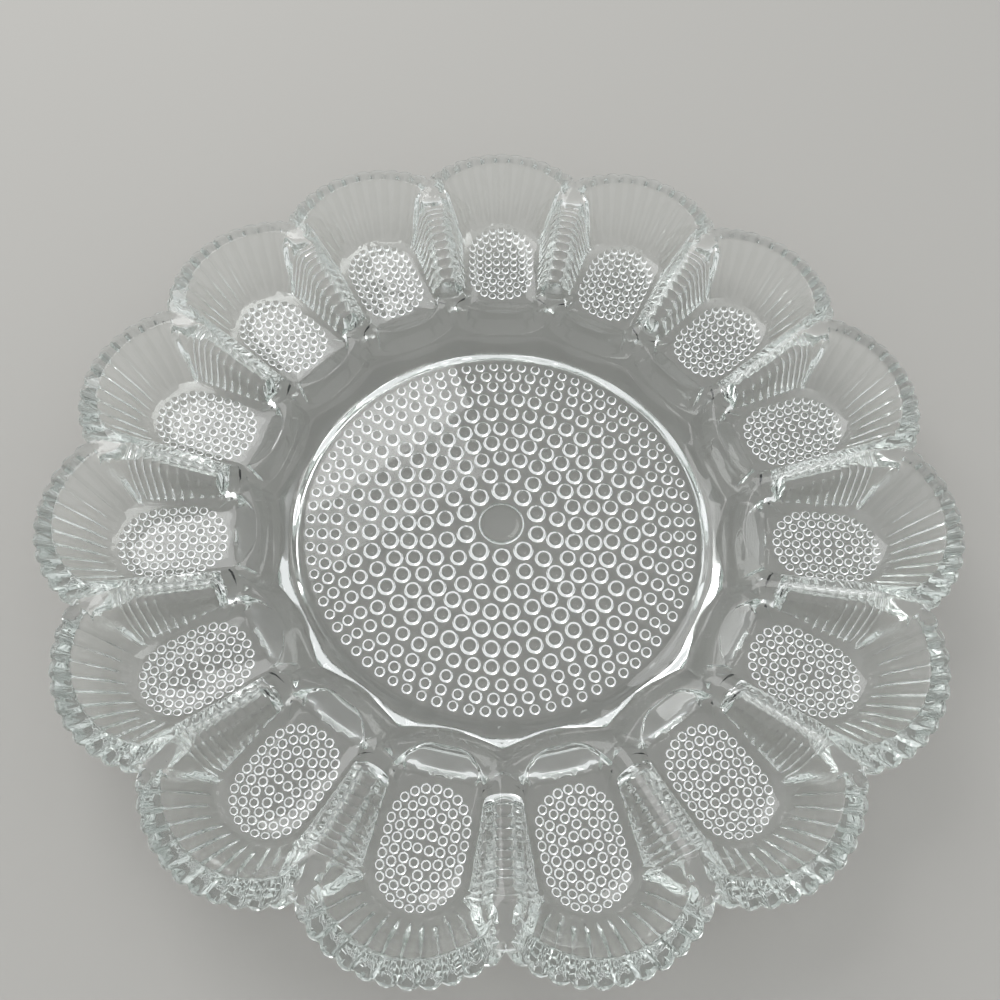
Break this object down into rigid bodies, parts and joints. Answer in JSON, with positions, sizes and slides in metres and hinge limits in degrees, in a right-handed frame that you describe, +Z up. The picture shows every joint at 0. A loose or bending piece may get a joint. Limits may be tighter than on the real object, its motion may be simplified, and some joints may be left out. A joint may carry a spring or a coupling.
{
  "type": "deviled egg platter",
  "caption": "Round pressed glass egg platter: oval wells with lobed, reeded rims around a shallow centre dish, with hobnails under the glass.",
  "frame": {"origin": "centre of the platter at the level of the table it stands on", "axes": "+Z up along the platter's axis; +Y towards the middle of egg well 01; the other wells follow clockwise seen from above"},
  "size_m": [0.2848, 0.2837, 0.034],
  "materials": {
    "clear_glass": "clear pressed glass, polished"
  },
  "bodies": {
    "root": {"center_floor": "clear_glass", "center_boss": "clear_glass", "center_hobnails": "clear_glass", "foot_ring": "clear_glass", "egg_well_01": "clear_glass", "egg_well_02": "clear_glass", "egg_well_03": "clear_glass", "egg_well_04": "clear_glass", "egg_well_05": "clear_glass", "egg_well_06": "clear_glass", "egg_well_07": "clear_glass", "egg_well_08": "clear_glass", "egg_well_09": "clear_glass", "egg_well_10": "clear_glass", "egg_well_11": "clear_glass", "egg_well_12": "clear_glass", "egg_well_13": "clear_glass", "egg_well_14": "clear_glass", "egg_well_15": "clear_glass", "rim_lobe_01": "clear_glass", "rim_lobe_02": "clear_glass", "rim_lobe_03": "clear_glass", "rim_lobe_04": "clear_glass", "rim_lobe_05": "clear_glass", "rim_lobe_06": "clear_glass", "rim_lobe_07": "clear_glass", "rim_lobe_08": "clear_glass", "rim_lobe_09": "clear_glass", "rim_lobe_10": "clear_glass", "rim_lobe_11": "clear_glass", "rim_lobe_12": "clear_glass", "rim_lobe_13": "clear_glass", "rim_lobe_14": "clear_glass", "rim_lobe_15": "clear_glass", "well_hobnails_01": "clear_glass", "well_hobnails_02": "clear_glass", "well_hobnails_03": "clear_glass", "well_hobnails_04": "clear_glass", "well_hobnails_05": "clear_glass", "well_hobnails_06": "clear_glass", "well_hobnails_07": "clear_glass", "well_hobnails_08": "clear_glass", "well_hobnails_09": "clear_glass", "well_hobnails_10": "clear_glass", "well_hobnails_11": "clear_glass", "well_hobnails_12": "clear_glass", "well_hobnails_13": "clear_glass", "well_hobnails_14": "clear_glass", "well_hobnails_15": "clear_glass"}
  },
  "joints": []
}
